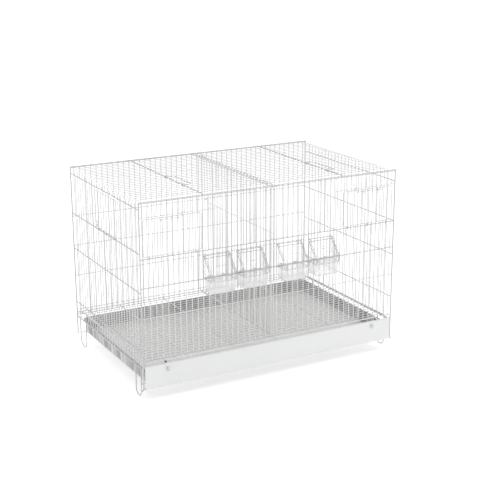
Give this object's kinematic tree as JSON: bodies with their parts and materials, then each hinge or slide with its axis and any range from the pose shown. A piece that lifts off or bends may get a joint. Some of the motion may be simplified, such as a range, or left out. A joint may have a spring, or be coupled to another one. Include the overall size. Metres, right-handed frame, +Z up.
{
  "type": "canary breeding cage",
  "caption": "White wire breeding cage with a slide-out tray and floor grid, lift-out divider, drop-down doors, side nest door, clear hooded feeders and folding top handles.",
  "frame": {"origin": "on the floor plane, under the centre of the whole body including the front feeders", "axes": "+Z up, the front with the feeders and drop-down doors faces -Y, +X to the right seen from the front"},
  "size_m": [0.6072, 0.4094, 0.4148],
  "materials": {
    "white_wire": "satin",
    "plate_enamel": "satin",
    "bright_wire": "satin",
    "tray_steel": "satin",
    "dark_plastic": "matte",
    "clear_plastic": "gloss"
  },
  "bodies": {
    "cage": {"back_panel": "white_wire", "back_top_rail": "white_wire", "foot_front_left": "white_wire", "foot_front_right": "white_wire", "foot_rear_left": "white_wire", "foot_rear_right": "white_wire", "front_centre_panel": "white_wire", "front_feeder_rail": "white_wire", "front_header_left": "white_wire", "front_header_right": "white_wire", "front_lower_panel": "white_wire", "front_mid_rail": "white_wire", "front_strip_centre": "white_wire", "front_strip_far_left": "white_wire", "front_strip_far_right": "white_wire", "front_strip_left": "white_wire", "front_strip_right": "white_wire", "front_top_rail": "white_wire", "grid_runner_left": "white_wire", "grid_runner_right": "white_wire", "left_side_front": "white_wire", "left_side_lower": "white_wire", "left_side_rear": "white_wire", "post_front_left": "white_wire", "post_front_right": "white_wire", "post_rear_left": "white_wire", "post_rear_right": "white_wire", "right_side_panel": "white_wire", "side_top_bend_left": "white_wire", "side_top_bend_right": "white_wire", "top_panel_left": "white_wire", "top_panel_right": "white_wire", "tray_runner_left": "white_wire", "tray_runner_right": "white_wire"},
    "front_door_left": {"front_door_left": "white_wire"},
    "front_door_right": {"front_door_right": "white_wire"},
    "front_latch_left": {"front_door_latch_left": "bright_wire"},
    "front_latch_right": {"front_door_latch_right": "bright_wire"},
    "nest_door": {"nest_door": "white_wire", "nest_door_hook": "bright_wire"},
    "divider": {"divider_panel": "white_wire", "divider_hanger_front": "white_wire", "divider_hanger_rear": "white_wire"},
    "floor_grid": {"floor_grid": "white_wire", "floor_grid_button_left": "dark_plastic", "floor_grid_button_right": "white_wire"},
    "tray": {"tray": "tray_steel", "tray_front_plate": "plate_enamel"},
    "tray_pull_left": {"tray_pull_left": "bright_wire"},
    "tray_pull_right": {"tray_pull_right": "bright_wire"},
    "top_handle_left": {"top_handle_left": "bright_wire"},
    "top_handle_right": {"top_handle_right": "bright_wire"},
    "feeder_1": {"feeder_bin_1": "clear_plastic", "feeder_hood_1": "clear_plastic"},
    "feeder_2": {"feeder_bin_2": "clear_plastic", "feeder_hood_2": "clear_plastic"},
    "feeder_3": {"feeder_bin_3": "clear_plastic", "feeder_hood_3": "clear_plastic"},
    "feeder_4": {"feeder_bin_4": "clear_plastic", "feeder_hood_4": "clear_plastic"}
  },
  "joints": [
    {"name": "tray_slide", "type": "slide", "parent": "cage", "child": "tray", "axis": [0, -1, 0], "range_m": [0, 0.34]},
    {"name": "floor_grid_slide", "type": "slide", "parent": "cage", "child": "floor_grid", "axis": [0, -1, 0], "range_m": [0, 0.29]},
    {"name": "divider_lift", "type": "slide", "parent": "cage", "child": "divider", "axis": [0, 0, 1], "range_m": [0, 0.325]},
    {"name": "front_door_left_hinge", "type": "hinge", "parent": "cage", "child": "front_door_left", "pos_m": [-0.22975, -0.16669, 0.295], "axis": [1, 0, 0], "range_deg": [0, 130]},
    {"name": "front_door_right_hinge", "type": "hinge", "parent": "cage", "child": "front_door_right", "pos_m": [0.23025, -0.16669, 0.295], "axis": [1, 0, 0], "range_deg": [0, 130]},
    {"name": "front_latch_left_turn", "type": "hinge", "parent": "front_door_left", "child": "front_latch_left", "pos_m": [-0.23575, -0.16909, 0.3712], "axis": [1, 0, 0], "range_deg": [0, 90]},
    {"name": "front_latch_right_turn", "type": "hinge", "parent": "front_door_right", "child": "front_latch_right", "pos_m": [0.23225, -0.16909, 0.3712], "axis": [1, 0, 0], "range_deg": [0, 90]},
    {"name": "nest_door_hinge", "type": "hinge", "parent": "cage", "child": "nest_door", "pos_m": [-0.29975, 0.00331, 0.306], "axis": [0, -1, 0], "range_deg": [0, 130]},
    {"name": "tray_pull_left_lift", "type": "hinge", "parent": "tray", "child": "tray_pull_left", "pos_m": [-0.24775, -0.17209, 0.0635], "axis": [-1, 0, 0], "range_deg": [0, 90]},
    {"name": "tray_pull_right_lift", "type": "hinge", "parent": "tray", "child": "tray_pull_right", "pos_m": [0.24825, -0.17209, 0.0635], "axis": [-1, 0, 0], "range_deg": [0, 90]},
    {"name": "top_handle_left_fold", "type": "hinge", "parent": "cage", "child": "top_handle_left", "pos_m": [-0.16325, -0.03869, 0.41137], "axis": [0, -1, 0], "range_deg": [0, 100]},
    {"name": "top_handle_right_fold", "type": "hinge", "parent": "cage", "child": "top_handle_right", "pos_m": [0.16375, -0.06669, 0.41137], "axis": [0, -1, 0], "range_deg": [0, 100]},
    {"name": "feeder_1_lift", "type": "slide", "parent": "cage", "child": "feeder_1", "axis": [0, 0, 1], "range_m": [0, 0.025]},
    {"name": "feeder_2_lift", "type": "slide", "parent": "cage", "child": "feeder_2", "axis": [0, 0, 1], "range_m": [0, 0.025]},
    {"name": "feeder_3_lift", "type": "slide", "parent": "cage", "child": "feeder_3", "axis": [0, 0, 1], "range_m": [0, 0.025]},
    {"name": "feeder_4_lift", "type": "slide", "parent": "cage", "child": "feeder_4", "axis": [0, 0, 1], "range_m": [0, 0.025]}
  ]
}
